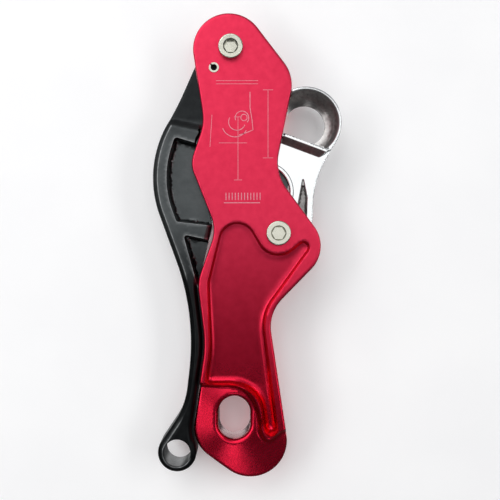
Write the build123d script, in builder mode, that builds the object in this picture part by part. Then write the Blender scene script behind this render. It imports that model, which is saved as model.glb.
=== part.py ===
from build123d import *
import math
import os

os.makedirs("parts", exist_ok=True)

# Frame: X to the right and Z up as seen from the front, the front faces -Y.
# The origin is the middle of the attachment eye. All sizes are in mm.

# ---------------------------------------------------------------- driving dimensions
UPPER_X, UPPER_Z = -1.65, 186.25        # upper axle, the handle's pivot
LOWER_X, LOWER_Z = 22.25, 93.4          # lower axle, the arm's pivot
GAP_HALF = 8.0                          # inner face of each side plate
PLATE_T = 4.0                           # sheet thickness of a side plate
EDGE_BREAK = 0.8                        # broken edge round a side plate

AXLE_R = 4.5                            # outside of each axle sleeve
SCREW_R = 3.0                           # screw inside the sleeve
HEAD_R = 6.15                           # axle and screw heads
HEAD_H = 3.0
HEX_AF = 6.0                            # socket across flats
HEX_DEPTH = 2.2
SOCKET_R = 3.8                          # lead-in circle of the socket
BUSH_WALL = 1.0
RUN_CLEAR = 0.05                        # radial running clearance of a bush on its sleeve
FIT_CLEAR = 0.02                        # radial clearance of a fixed fit
AIR = 0.3                               # air between pieces of different bodies

STOP_X, STOP_Z = -8.4, -10.05           # stop pin from the upper axle
STOP_R = 2.5
STOP_BORE = 1.6
STOP_SLIT = 0.8
STOP_PROUD = 0.3

EYE_W, EYE_H = 16.0, 21.5               # throat of the attachment eye
EYE_LIP = 2.6                           # rounding of its lip
EYE_LAND = 1.2                          # flat land round the lip
EYE_COLLAR_DEG = 52.0                   # slope of the collar above the eye, from its axis
EYE_CONE_DEG = 74.0                     # slope of the wide cone round its lower side
RUN_OUT_DEG = 25.0                      # slope on which the flanges run out at the low end

PRESS_TOP_DEPTH = 1.8                   # pressed floor below the outer face at its top end
PRESS_TOP_Z = 99.0
PRESS_LOW_Z = 17.0                      # here the two plates meet back to back
PRESS_DRAFT = 10.0
PRESS_BOSS_R = 10.2                     # flat boss kept round the lower axle
BULGE_GROWTH = 0.6                      # the bulge inside is wider than the pocket outside

WEAR_T = 1.0                            # wear plate on the inside of the back plate

HANDLE_FRONT = 9.5                      # raised front face of the lever
HANDLE_REAR = 7.5                       # its raised back face
HANDLE_CORE = 7.0                       # its front face between the plates
HANDLE_BACK = 6.7                       # its back face between the plates
HANDLE_WEB_FRONT = 3.2                  # web between the pockets
HANDLE_WEB_BACK = 0.5
HANDLE_EDGE = 1.4
HANDLE_FIELD_CORNER = 1.6
HANDLE_EYE_R = 6.75
HANDLE_EYE_WALL = 3.0
HANDLE_BOSS_R = 13.4
HANDLE_OPEN_DEG = 30.0
SLOT_SPARE = 0.8
NOSE_R = 11.2
NOSE_FRONT = 3.9                        # the nose stays behind the arm's web

ARM_FACE = 7.2                          # front face of the arm's web
ARM_GROOVE = 5.6                        # floor of the short groove in it
ARM_RIM = 7.7                           # raised rims and the hub
ARM_WEB_BACK = 4.2
ARM_BACK = 6.7
ARM_HUB_R = 9.0
ARM_WALL = 3.4                          # thickness of the rope channel's wall
RING_R = 18.1
RING_MOUTH_R = 16.9
RING_THROAT_R = 10.5
RING_BACK_R = 15.0
RING_FRONT = 11.0                       # front and back of the ring outside the plates
RING_REAR = 8.0
RING_PLATE_AIR = 0.5                    # their shoulder stops just short of the plates' edges
RING_FLAT = 8.7                         # distance of the ring's flat side from its middle
RING_FLAT_DEG = -20.5
BAR_W = 1.5
BAR_SLOPE = 3.6

HANDLE_WIRE = 1.2
HANDLE_COIL_R = 8.4
HANDLE_SEAT = 5.9
ARM_WIRE = 0.8
ARM_COIL_R = 6.6
ARM_SEAT = 4.0
COIL_TURNS = 3
LEG = 1.3                               # how far a spring's legs reach into their holes

# ---------------------------------------------------------------- derived places
PLATE_OUT = GAP_HALF + PLATE_T
UPPER = (UPPER_X, UPPER_Z)
LOWER = (LOWER_X, LOWER_Z)
STOP = (UPPER_X + STOP_X, UPPER_Z + STOP_Z)
NOSE = (LOWER_X - 5.8, LOWER_Z + 26.3)
RING = (LOWER_X + 13.75, LOWER_Z + 55.6)
HANDLE_EYE = (-28.9, -17.4)
BUSH_R = AXLE_R + RUN_CLEAR + BUSH_WALL
FAR = 400.0


def from_upper(dx, dz):
    return (UPPER_X + dx, UPPER_Z + dz)


def from_lower(dx, dz):
    return (LOWER_X + dx, LOWER_Z + dz)


def between(upper_share, dx, dz):
    """A place that follows the two axles by the given share of the upper one."""
    x = LOWER_X + (UPPER_X + 1.65) * upper_share + dx
    z = LOWER_Z + (UPPER_Z - 186.25) * upper_share + dz
    return (x, z)


def layer(y):
    """Sketch plane across the object at the given depth; extruding goes towards -Y."""
    return Plane.XZ.offset(-y)


def tangent_points(first, second):
    """Ends of the straight that joins two circles of a chain."""
    (x1, z1), r1 = first
    (x2, z2), r2 = second
    length = math.hypot(x2 - x1, z2 - z1)
    angle = math.atan2(z2 - z1, x2 - x1) + math.acos((r2 - r1) / length)
    nx, nz = math.cos(angle), math.sin(angle)
    return (x1 - r1 * nx, z1 - r1 * nz), (x2 - r2 * nx, z2 - r2 * nz)


def chain(lobes):
    """Closed shape of circles joined by tangents, anticlockwise; a hollow has a radius below 0."""
    count = len(lobes)
    straights = [tangent_points(lobes[i], lobes[(i + 1) % count]) for i in range(count)]
    with BuildSketch(Plane.XY) as shape:
        with BuildLine():
            for i in range(count):
                (cx, cz), radius = lobes[i]
                start = straights[i - 1][1]
                end = straights[i][0]
                a0 = math.atan2(start[1] - cz, start[0] - cx)
                a1 = math.atan2(end[1] - cz, end[0] - cx)
                if radius > 0:
                    turn = (a1 - a0) % (2 * math.pi)
                else:
                    turn = -((a0 - a1) % (2 * math.pi))
                middle = a0 + turn / 2
                size = abs(radius)
                through = (cx + size * math.cos(middle), cz + size * math.sin(middle))
                ThreePointArc(start, through, end)
                Line(*straights[i])
        make_face()
    return shape.sketch


def field(points, corner=0.0):
    """Closed shape with straight sides and equally rounded corners."""
    with BuildSketch(Plane.XY) as shape:
        Polygon(*points, align=None)
        if corner > 0:
            fillet(shape.vertices(), corner)
    return shape.sketch


def grown(lobes, amount):
    """The same chain, moved outward everywhere."""
    return [(centre, radius + amount) for centre, radius in lobes]


PLATE_LOBES = [
    (from_upper(-0.95, -0.65), 18.0),
    (from_upper(-39.05, -35.25), -25.0),
    (from_lower(-29.45, 35.1), 14.0),
    (from_lower(-50.55, 1.6), -18.0),
    (from_lower(-17.25, -26.9), 22.9),
    ((-75.0, 38.0), -60.0),
    ((-3.2, -5.6), 17.4),
    ((8.5, -13.0), 18.5),
    ((38.5, 46.5), -20.0),
    (from_lower(4.75, -6.4), 16.5),
    (from_lower(21.75, 35.6), -22.0),
    (from_upper(11.65, -18.75), 19.0),
]

HUMP_R = 9.6
PRESS_LOBES = [
    (from_lower(12.45, -7.1), 3.2),
    (LOWER, -PRESS_BOSS_R),
    (from_lower(-PRESS_BOSS_R - HUMP_R - 0.4, -4.0), HUMP_R),
    (from_lower(-17.25, -26.9), 18.4),
    ((-75.0, 38.0), -62.5),
    ((-11.5, 20.0), 3.0),
    ((-1.0, 2.0), -15.0),
    ((18.5, -4.5), 3.5),
    ((38.5, 46.5), -23.0),
]

WEAR_LOBES = [
    (LOWER, PRESS_BOSS_R - BULGE_GROWTH - 0.4),
    (from_lower(-8.25, 38.6), 9.0),
    (from_lower(-30.0, 26.2), 8.6),
    (from_lower(-31.75, 10.6), 5.3),
    (from_lower(-PRESS_BOSS_R - HUMP_R - 0.4, -4.0), -HUMP_R - BULGE_GROWTH - 0.4),
]

HANDLE_LOBES = [
    (UPPER, HANDLE_BOSS_R),
    (from_upper(-134.15, 26.55), -120.0),
    (between(0.5, -8.45, 28.1), 55.0),
    ((-142.0, 38.0), -120.0),
    ((-63.5, 20.3), -40.0),
    (HANDLE_EYE, HANDLE_EYE_R + HANDLE_EYE_WALL),
    ((-3.2, -5.6), -17.85),
    ((-75.0, 38.0), 59.5),
    (from_lower(-17.25, -26.9), -20.2),
    (from_lower(-41.25, 3.6), 7.5),
    (from_lower(-35.75, 24.6), -3.0),
    (NOSE, NOSE_R),
    (from_lower(11.75, 60.6), -26.5),
]

WINDOW = from_lower(-7.45, 21.1)
WINDOW_R = math.hypot(7.45, 21.1) - ARM_HUB_R - 0.2
ARM_LOBES = [
    (RING, RING_R),
    (from_lower(-2.0, 44.0), 8.0),
    (WINDOW, -WINDOW_R),
    (LOWER, ARM_HUB_R),
    (from_lower(12.25, 7.6), 5.5),
    (from_lower(67.75, 12.6), -50.0),
]


def press_floor(z, thickness):
    """Depth of the pressed floor at a height; the inner side lies a sheet thickness further in."""
    top = -PLATE_OUT + PRESS_TOP_DEPTH
    slope = (top + PLATE_T) / (PRESS_TOP_Z - PRESS_LOW_Z)
    return -PLATE_T + slope * max(z - PRESS_LOW_Z, 0.0) + thickness


def below_trim(margin):
    """Everything below the slanted line where the flanges run out."""
    left, right = -60.0, 90.0
    return field([(left, 38.9 + margin), (left, -90.0), (right, -90.0), (right, -39.6 + margin)])


def outside_floor(thickness):
    """Everything on the outer side of the sloping pressed floor."""
    low, high = -60.0, FAR
    corners = [(-FAR, low), (press_floor(low, thickness), low)]
    corners += [(press_floor(PRESS_LOW_Z, thickness), PRESS_LOW_Z)]
    corners += [(press_floor(high, thickness), high), (-FAR, high)]
    with BuildPart() as wedge:
        with BuildSketch(Plane.YZ.offset(-150.0)):
            add(field(corners))
        extrude(amount=300.0)
    return wedge.part


def pressed_pocket():
    """The hollow pressed into the outer face."""
    with BuildPart() as pocket:
        with BuildSketch(layer(-PLATE_T)):
            add(chain(grown(PRESS_LOBES, -PLATE_T * 2 * math.tan(math.radians(PRESS_DRAFT)))))
        extrude(amount=PLATE_OUT - PLATE_T, taper=-PRESS_DRAFT)
        add(outside_floor(0.0), mode=Mode.INTERSECT)
    return pocket.part


def inner_space():
    """The room between the plate's inner face and the middle, less the bulge of the pressing."""
    collar = 2 * (EYE_LIP + EYE_LAND + (GAP_HALF - PLATE_T) * math.tan(math.radians(EYE_COLLAR_DEG))) + 1.0
    with BuildPart() as bulge:
        with BuildSketch(layer(0.0)):
            add(chain(grown(PRESS_LOBES, BULGE_GROWTH - GAP_HALF * math.tan(math.radians(PRESS_DRAFT)))))
        extrude(amount=GAP_HALF, taper=-PRESS_DRAFT)
        add(outside_floor(PLATE_T), mode=Mode.INTERSECT)
    with BuildPart() as space:
        with BuildSketch(layer(0.0)):
            Rectangle(FAR, 2 * FAR)
            add(below_trim(2.5), mode=Mode.SUBTRACT)
            SlotOverall(EYE_H + collar, EYE_W + collar, rotation=90, mode=Mode.SUBTRACT)
        extrude(amount=GAP_HALF, taper=RUN_OUT_DEG)
        add(bulge.part, mode=Mode.SUBTRACT)
    return space.part


def eye_cone(slope_deg, height):
    """Straight-sided cone round the eye, from the low end's outer face up to the lip's land."""
    out = 2 * (EYE_LIP + EYE_LAND + (GAP_HALF - PLATE_T) * math.tan(math.radians(slope_deg)))
    with BuildPart() as cone:
        with BuildSketch(layer(-PLATE_T)):
            SlotOverall(EYE_H + out, EYE_W + out, rotation=90)
        if height > GAP_HALF - PLATE_T:
            extrude(amount=height)
        else:
            extrude(amount=height, taper=slope_deg)
    return cone.part


def low_end_cut():
    """What is taken off at the low end, so that only the collar and the cone round the eye stand up."""
    rise = GAP_HALF - PLATE_T
    with BuildPart() as above:
        add(eye_cone(EYE_COLLAR_DEG, rise + 6.0))
        with BuildSketch(layer(-PLATE_T)):
            add(below_trim(0.0))
        extrude(amount=rise + 8.0, mode=Mode.SUBTRACT)
        add(eye_cone(EYE_COLLAR_DEG, rise), mode=Mode.SUBTRACT)
    with BuildPart() as cut:
        with BuildSketch(layer(-PLATE_T)):
            add(below_trim(0.0))
        extrude(amount=GAP_HALF + 2.0, taper=-RUN_OUT_DEG)
        add(eye_cone(EYE_CONE_DEG, rise), mode=Mode.SUBTRACT)
        add(above.part)
    return cut.part


def make_side_plate():
    pocket = pressed_pocket()
    space = inner_space()
    cut = low_end_cut()
    with BuildPart() as plate:
        with BuildSketch(layer(0.0)):
            add(chain(PLATE_LOBES))
        extrude(amount=PLATE_OUT)
        chamfer(plate.faces().sort_by(Axis.Y)[0].edges(), EDGE_BREAK)
        add(pocket, mode=Mode.SUBTRACT)
        add(space, mode=Mode.SUBTRACT)
        add(cut, mode=Mode.SUBTRACT)
        with BuildSketch(layer(1.0)):
            SlotOverall(EYE_H, EYE_W, rotation=90)
        extrude(amount=GAP_HALF + 2.0, mode=Mode.SUBTRACT)
        lip = plate.edges().filter_by_position(Axis.Y, -GAP_HALF - 0.01, -GAP_HALF + 0.01)
        lip = lip.filter_by(lambda e: abs(e.center().X) < EYE_W / 2 + 0.1 and abs(e.center().Z) < EYE_H / 2 + 0.1)
        fillet(lip, EYE_LIP)
        with BuildSketch(layer(1.0)):
            with Locations(UPPER, LOWER):
                Circle(AXLE_R + FIT_CLEAR)
            with Locations(STOP):
                Circle(STOP_R + FIT_CLEAR)
        extrude(amount=PLATE_OUT + 2.0, mode=Mode.SUBTRACT)
    return plate


def export(name, piece):
    piece.part.label = name
    export_step(piece.part, "parts/" + name + ".step")
    print(name, round(piece.part.volume, 1), len(piece.part.solids()))


def make_back_plate(front):
    with BuildPart() as plate:
        mirror(front.part, about=Plane.XZ)
        add(leg_holes(GAP_HALF + LEG + AIR, LEG + 2 * AIR), mode=Mode.SUBTRACT)
    return plate


def make_wear_plate():
    with BuildPart() as plate:
        with BuildSketch(layer(GAP_HALF)):
            add(chain(WEAR_LOBES))
            with Locations(LOWER):
                Circle(AXLE_R + FIT_CLEAR, mode=Mode.SUBTRACT)
        extrude(amount=WEAR_T)
        add(leg_holes(GAP_HALF + 1.0, 2.0 + WEAR_T), mode=Mode.SUBTRACT)
    return plate


def head_with_socket(place, y_seat, outward):
    """A round head with a hexagon socket on the given side (outward is -1 at the front)."""
    out_face = y_seat + outward * HEAD_H
    with BuildPart() as head:
        with BuildSketch(layer(max(y_seat, out_face))):
            with Locations(place):
                Circle(HEAD_R)
        extrude(amount=HEAD_H)
        rim = head.edges().filter_by_position(Axis.Y, out_face - 0.01, out_face + 0.01)
        fillet(rim, 0.6)
        floor = out_face - outward * HEX_DEPTH
        with BuildSketch(layer(max(floor, out_face))):
            with Locations(place):
                RegularPolygon(HEX_AF / 2, 6, major_radius=False)
        extrude(amount=HEX_DEPTH, mode=Mode.SUBTRACT)
        lead = SOCKET_R - HEX_AF / 2
        seat = out_face - outward * lead
        with Locations(Plane((place[0], seat, place[1]), z_dir=(0, outward, 0))):
            Cone(HEX_AF / 2, SOCKET_R, lead, align=(Align.CENTER, Align.CENTER, Align.MIN), mode=Mode.SUBTRACT)
    return head.part


def make_axle_sleeve(place):
    """Sleeve through both plates, with its head on the back plate."""
    head = head_with_socket(place, PLATE_OUT, 1)
    with BuildPart() as sleeve:
        with BuildSketch(layer(PLATE_OUT)):
            with Locations(place):
                Circle(AXLE_R)
                Circle(SCREW_R + FIT_CLEAR, mode=Mode.SUBTRACT)
        extrude(amount=2 * PLATE_OUT - 0.5)
        add(head)
    return sleeve


def make_axle_screw(place):
    """Screw inside the sleeve, with its head on the front plate."""
    head = head_with_socket(place, -PLATE_OUT, -1)
    with BuildPart() as screw:
        with BuildSketch(layer(PLATE_OUT - 2.0)):
            with Locations(place):
                Circle(SCREW_R)
        extrude(amount=2 * PLATE_OUT - 2.0)
        chamfer(screw.faces().sort_by(Axis.Y)[-1].edges(), 0.5)
        add(head)
    return screw


def make_stop_pin():
    """Slotted spring pin through both plates."""
    length = 2 * (PLATE_OUT + STOP_PROUD)
    with BuildPart() as pin:
        with BuildSketch(layer(PLATE_OUT + STOP_PROUD)):
            with Locations(STOP):
                Circle(STOP_R)
                Circle(STOP_BORE, mode=Mode.SUBTRACT)
            reach = STOP_R / math.sqrt(2)
            with Locations((STOP[0] - reach, STOP[1] + reach)):
                Rectangle(2 * STOP_R, STOP_SLIT, rotation=-45, mode=Mode.SUBTRACT)
        extrude(amount=length)
    return pin


def make_bush(place, y_back, y_front):
    with BuildPart() as bush:
        with BuildSketch(layer(y_back)):
            with Locations(place):
                Circle(BUSH_R)
                Circle(AXLE_R + RUN_CLEAR, mode=Mode.SUBTRACT)
        extrude(amount=y_back - y_front)
    return bush


def make_washer(place, y_back, y_front):
    with BuildPart() as washer:
        with BuildSketch(layer(y_back)):
            with Locations(place):
                Circle(BUSH_R + 2.0)
                Circle(AXLE_R + FIT_CLEAR, mode=Mode.SUBTRACT)
        extrude(amount=y_back - y_front)
    return washer


def make_spring(place, coil_r, wire, y_mouth):
    """Torsion spring round an axle, with one leg into the back plate and one into the moving part."""
    pitch = wire * 1.12
    height = pitch * COIL_TURNS
    start = y_mouth - wire / 2 - 0.1
    with BuildPart() as spring:
        with BuildLine():
            coil = Helix(pitch, height, coil_r, center=(place[0], start, place[1]), direction=(0, -1, 0))
        with BuildSketch(Plane(coil @ 0, z_dir=coil % 0)):
            Circle(wire / 2)
        sweep(path=coil, is_frenet=True)
        with BuildSketch(layer(GAP_HALF + LEG)):
            with Locations((place[0], place[1] - coil_r)):
                Circle(wire * 0.4)
        extrude(amount=GAP_HALF + LEG - start)
        with BuildSketch(layer(start - height)):
            with Locations((place[0], place[1] - coil_r)):
                Circle(wire * 0.4)
        extrude(amount=y_mouth - start + LEG)
    return spring


def leg_holes(y_from, amount):
    """Holes for the springs' back legs."""
    with BuildPart() as holes:
        for place, coil_r, wire in ((UPPER, HANDLE_COIL_R, HANDLE_WIRE), (LOWER, ARM_COIL_R, ARM_WIRE)):
            with BuildSketch(layer(y_from)):
                with Locations((place[0], place[1] - coil_r)):
                    Circle(wire * 0.6 + 0.2)
            extrude(amount=amount)
    return holes.part


def handle_fields():
    """The two sunk fields between the lever's rim and its inner edge."""
    shift = (UPPER_Z - 186.25) * 0.5 + (LOWER_Z - 93.4) * 0.5
    upper = [(-30.2, 141.4), (-33.4, 126.0), (-33.2, 114.5), (-29.6, 101.4)]
    upper += [(-27.2, 99.2), (-4.0, 96.4), (-4.0, 134.8), (-18.0, 138.4)]
    lower = [(-25.2, 92.5), (-24.6, 87.0), (-21.2, 76.6), (-18.6, 66.0)]
    lower += [(-14.0, 66.0), (-4.0, 76.0), (-4.0, 88.8)]
    return [[(x, z + shift) for x, z in corners] for corners in (upper, lower)]


def under_plates():
    """Where the lever has to pass between the plates, at rest and while it opens."""
    with BuildSketch(Plane.XY) as shape:
        add(chain(grown(PLATE_LOBES, 1.0)))
        add(chain(grown(WEAR_LOBES, 0.6)))
        add(field([(-70.0, 158.6), (20.0, 139.0), (90.0, 139.0), (90.0, 260.0), (-70.0, 260.0)]))
        add(field([(18.0, 104.0), (90.0, 104.0), (90.0, 140.0), (18.0, 140.0)]))
    return shape.sketch


def in_front_of_nose():
    """Room that the arm's web sweeps in front of the nose."""
    corners = [from_lower(-19.0, -20.0), from_lower(60.0, -20.0), from_lower(60.0, 74.0)]
    corners += [from_lower(-6.0, 74.0), from_lower(-17.0, 56.0)]
    return field(corners)


def lever_block():
    """The lever without its fields, bores and slots."""
    with BuildPart() as block:
        with BuildSketch(layer(HANDLE_REAR)):
            add(chain(HANDLE_LOBES))
        extrude(amount=HANDLE_REAR + HANDLE_FRONT)
        ends = block.faces().sort_by(Axis.Y)
        chamfer(ends[0].edges() + ends[-1].edges(), HANDLE_EDGE)
        with BuildSketch(layer(-HANDLE_CORE)):
            add(under_plates())
        extrude(amount=HANDLE_FRONT, mode=Mode.SUBTRACT)
        with BuildSketch(layer(HANDLE_BACK + 10.0)):
            add(under_plates())
        extrude(amount=10.0, mode=Mode.SUBTRACT)
        with BuildSketch(layer(-NOSE_FRONT)):
            add(in_front_of_nose())
        extrude(amount=HANDLE_FRONT, mode=Mode.SUBTRACT)
    return block.part


def cut_fields(y_from, amount):
    """The sunk fields, from one depth towards the front by the given amount."""
    with BuildPart() as cut:
        with BuildSketch(layer(y_from)):
            for corners in handle_fields():
                add(field(corners, HANDLE_FIELD_CORNER))
        extrude(amount=amount)
    return cut.part


def stop_slot():
    """Curved slot that the stop pin runs in."""
    radius = math.hypot(STOP_X, STOP_Z)
    angle = math.degrees(math.atan2(STOP_Z, STOP_X))
    with BuildSketch(Plane.XY) as shape:
        run = CenterArc(UPPER, radius, angle - SLOT_SPARE, HANDLE_OPEN_DEG + 2 * SLOT_SPARE)
        SlotArc(run, 2 * (STOP_R + AIR))
    with BuildPart() as slot:
        with BuildSketch(layer(HANDLE_REAR)):
            add(shape.sketch)
        extrude(amount=HANDLE_REAR + HANDLE_FRONT)
    return slot.part


def spring_room(place, coil_r, wire, y_mouth, depth):
    """Ring-shaped seat of a torsion spring, with the small hole for its front leg."""
    with BuildPart() as room:
        with BuildSketch(layer(y_mouth)):
            with Locations(place):
                Circle(coil_r + wire / 2 + AIR)
                Circle(max(coil_r - wire / 2 - AIR, BUSH_R + 0.25), mode=Mode.SUBTRACT)
        extrude(amount=depth)
        with BuildSketch(layer(y_mouth)):
            with Locations((place[0], place[1] - coil_r)):
                Circle(wire * 0.6 + AIR)
        extrude(amount=depth + LEG + AIR)
    return room.part


def make_handle():
    """Lever with its boss, cam nose, sunk fields and eye."""
    depth = HANDLE_REAR + HANDLE_FRONT
    with BuildPart() as handle:
        add(lever_block())
        add(cut_fields(HANDLE_REAR, HANDLE_REAR - HANDLE_WEB_BACK), mode=Mode.SUBTRACT)
        add(cut_fields(-HANDLE_WEB_FRONT, HANDLE_FRONT), mode=Mode.SUBTRACT)
        with BuildSketch(layer(HANDLE_REAR)):
            with Locations(UPPER):
                Circle(BUSH_R)
            with Locations(HANDLE_EYE):
                Circle(HANDLE_EYE_R)
        extrude(amount=depth, mode=Mode.SUBTRACT)
        add(spring_room(UPPER, HANDLE_COIL_R, HANDLE_WIRE, HANDLE_BACK, HANDLE_SEAT), mode=Mode.SUBTRACT)
        add(stop_slot(), mode=Mode.SUBTRACT)
    return handle


def beyond_flat(distance):
    """Everything on the open side of a line set below the ring's middle."""
    tilt = math.radians(RING_FLAT_DEG)
    along = (math.cos(tilt), math.sin(tilt))
    normal = (-math.sin(tilt), math.cos(tilt))
    corners = []
    for reach, rise in ((-60, 0), (60, 0), (60, 80), (-60, 80)):
        x = RING[0] + along[0] * reach + normal[0] * (rise - distance)
        z = RING[1] + along[1] * reach + normal[1] * (rise - distance)
        corners.append((x, z))
    return field(corners)


def ring_hole():
    """Flared hole through the ring, cut off at its flat side."""
    front, back = -RING_FRONT, RING_REAR
    with BuildPart() as hole:
        with BuildSketch(Plane((RING[0], 0, RING[1]), x_dir=(1, 0, 0), z_dir=(0, 0, 1))):
            with BuildLine():
                Line((0, front - 1), (RING_MOUTH_R, front - 1))
                Line((RING_MOUTH_R, front - 1), (RING_MOUTH_R, front))
                ThreePointArc((RING_MOUTH_R, front), (12.9, -5.6), (RING_THROAT_R, 1.0))
                ThreePointArc((RING_THROAT_R, 1.0), (11.7, 5.0), (RING_BACK_R, back))
                Line((RING_BACK_R, back), (RING_BACK_R, back + 1))
                Line((RING_BACK_R, back + 1), (0, back + 1))
                Line((0, back + 1), (0, front - 1))
            make_face()
        revolve(axis=Axis((RING[0], 0, RING[1]), (0, 1, 0)))
        with BuildSketch(layer(30.0)):
            add(beyond_flat(RING_FLAT))
        extrude(amount=60.0, mode=Mode.INTERSECT)
    return hole.part


def ring_body():
    """The ring before its hole is cut, with the bar that stands up along the flat side."""
    with BuildPart() as ring:
        with BuildSketch(layer(ARM_BACK)):
            with Locations(RING):
                Circle(RING_R)
            add(beyond_flat(RING_FLAT), mode=Mode.INTERSECT)
        extrude(amount=ARM_BACK + ARM_RIM)
        with BuildSketch(layer(-ARM_WEB_BACK)):
            with Locations(RING):
                Circle(RING_R)
            add(beyond_flat(RING_FLAT + BAR_W + BAR_SLOPE), mode=Mode.INTERSECT)
        extrude(amount=ARM_RIM - ARM_WEB_BACK)
        # outside the plates the ring stands further out
        with BuildSketch(layer(RING_REAR)):
            with Locations(RING):
                Circle(RING_R)
            add(beyond_flat(RING_FLAT), mode=Mode.INTERSECT)
            add(chain(grown(PLATE_LOBES, RING_PLATE_AIR)), mode=Mode.SUBTRACT)
        extrude(amount=RING_REAR + RING_FRONT)
        with BuildSketch(layer(-ARM_WEB_BACK)):
            with Locations(RING):
                Circle(RING_R)
            add(beyond_flat(RING_FLAT + BAR_W), mode=Mode.INTERSECT)
            add(chain(grown(PLATE_LOBES, RING_PLATE_AIR)), mode=Mode.SUBTRACT)
        extrude(amount=RING_FRONT - ARM_WEB_BACK)
    return ring.part


def channel_wall():
    """Wall along the arm's outer edge, which closes the rope channel on the outside."""
    corners = [from_lower(10.0, 18.0), from_lower(60.0, 18.0), from_lower(60.0, 62.0)]
    corners += [from_lower(26.0, 50.0), from_lower(10.0, 40.0)]
    with BuildPart() as wall:
        with BuildSketch(layer(ARM_BACK)):
            add(chain(ARM_LOBES))
            add(chain(grown(ARM_LOBES, -ARM_WALL)), mode=Mode.SUBTRACT)
            add(field(corners), mode=Mode.INTERSECT)
        extrude(amount=ARM_BACK + ARM_WEB_BACK)
    return wall.part


def web_rim():
    """Low rim on the front of the web, round the open window."""
    with BuildPart() as rim:
        with BuildSketch(layer(-ARM_FACE)):
            with Locations(WINDOW):
                Circle(WINDOW_R + 1.9)
            add(chain(ARM_LOBES), mode=Mode.INTERSECT)
        extrude(amount=ARM_RIM - ARM_FACE)
    return rim.part


def web_groove():
    """Short groove sunk into the front of the web."""
    corners = [from_lower(12.75, 27.9), from_lower(10.75, 23.1), from_lower(9.95, 13.4)]
    corners += [from_lower(14.35, 7.8), from_lower(14.35, 23.4)]
    with BuildPart() as groove:
        with BuildSketch(layer(-ARM_GROOVE)):
            add(field(corners, 0.9))
        extrude(amount=ARM_RIM)
    return groove.part


def make_arm():
    """Swing arm: thin web, channel wall, low rims and the flared rope ring."""
    with BuildPart() as arm:
        with BuildSketch(layer(-ARM_WEB_BACK)):
            add(chain(ARM_LOBES))
        extrude(amount=ARM_FACE - ARM_WEB_BACK)
        add(web_rim())
        add(ring_body())
        add(channel_wall())
        with BuildSketch(layer(ARM_BACK)):
            with Locations(LOWER):
                Circle(ARM_HUB_R)
        extrude(amount=ARM_BACK + ARM_RIM)
        add(ring_hole(), mode=Mode.SUBTRACT)
        add(web_groove(), mode=Mode.SUBTRACT)
        with BuildSketch(layer(ARM_BACK)):
            with Locations(LOWER):
                Circle(BUSH_R)
        extrude(amount=ARM_BACK + ARM_RIM, mode=Mode.SUBTRACT)
        add(spring_room(LOWER, ARM_COIL_R, ARM_WIRE, ARM_BACK, ARM_SEAT), mode=Mode.SUBTRACT)
    return arm


front_plate = make_side_plate()
export("front_plate", front_plate)
export("back_plate", make_back_plate(front_plate))
export("wear_plate", make_wear_plate())
export("upper_axle_sleeve", make_axle_sleeve(UPPER))
export("upper_axle_screw", make_axle_screw(UPPER))
export("lower_axle_sleeve", make_axle_sleeve(LOWER))
export("lower_axle_screw", make_axle_screw(LOWER))
export("stop_pin", make_stop_pin())
export("handle_lever", make_handle())
export("handle_bush", make_bush(UPPER, HANDLE_BACK, -HANDLE_CORE))
export("handle_washer_front", make_washer(UPPER, -HANDLE_CORE - AIR, -GAP_HALF))
export("handle_washer_back", make_washer(UPPER, GAP_HALF, HANDLE_BACK + AIR))
export("handle_spring", make_spring(UPPER, HANDLE_COIL_R, HANDLE_WIRE, HANDLE_BACK))
export("swing_arm", make_arm())
export("arm_bush", make_bush(LOWER, ARM_BACK, -ARM_RIM))
export("arm_spring", make_spring(LOWER, ARM_COIL_R, ARM_WIRE, ARM_BACK))
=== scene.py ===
import math

import bpy
import numpy as np
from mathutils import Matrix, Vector
from mathutils.geometry import delaunay_2d_cdt


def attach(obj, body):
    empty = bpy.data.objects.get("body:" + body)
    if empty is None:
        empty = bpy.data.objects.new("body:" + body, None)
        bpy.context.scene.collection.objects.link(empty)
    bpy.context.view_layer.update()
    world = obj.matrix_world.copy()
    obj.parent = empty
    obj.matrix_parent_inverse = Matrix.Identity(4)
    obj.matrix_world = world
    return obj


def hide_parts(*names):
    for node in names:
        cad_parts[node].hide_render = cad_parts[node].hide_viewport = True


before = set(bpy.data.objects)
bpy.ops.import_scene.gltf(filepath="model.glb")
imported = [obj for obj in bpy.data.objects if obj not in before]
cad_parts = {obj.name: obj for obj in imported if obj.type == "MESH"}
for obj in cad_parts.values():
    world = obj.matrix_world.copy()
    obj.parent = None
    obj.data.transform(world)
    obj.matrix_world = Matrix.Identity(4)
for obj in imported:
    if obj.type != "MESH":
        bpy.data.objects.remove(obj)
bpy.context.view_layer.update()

MM = 0.001
FRONT, BACK = -1.0, 1.0

# ---------------------------------------------------------------- shapes shared with the solids (mm)
U = (-1.65, 186.25)
L = (22.25, 93.4)
EYE = (-28.9, -17.4)
RING = (36.0, 149.0)
RING_TILT = math.radians(-20.5)
RING_FLAT = 8.7                 # the flat of the D-shaped hole, below the ring's centre
RING_THROAT = 10.5
RING_OUT = 18.3                 # just past the ring's rim
PLATE_OUT = 12.0                # outer face of each side plate, from the middle plane
EYE_OUT = 8.0                   # lip of the attachment eye, from the middle plane
LIP = 2.4                       # width of that lip
SEAM = 0.06                     # half the gap where the plates meet
CONE_SLOPE = 0.235              # fall of the cone round the eye, per mm
PLATE_THICK = 4.0
WEB_FRONT = 7.2                 # front face of the arm's web
AXLE_BORE = 5.02                # bore for an axle sleeve in the plates
BUSH_BORE = 5.55                # bore for a bush in the lever and the arm
EYE_BORE = 6.75                 # bore of the lever's eye
NOSE = (16.45, 119.7)
STOP = (-10.05, 176.2)

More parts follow.
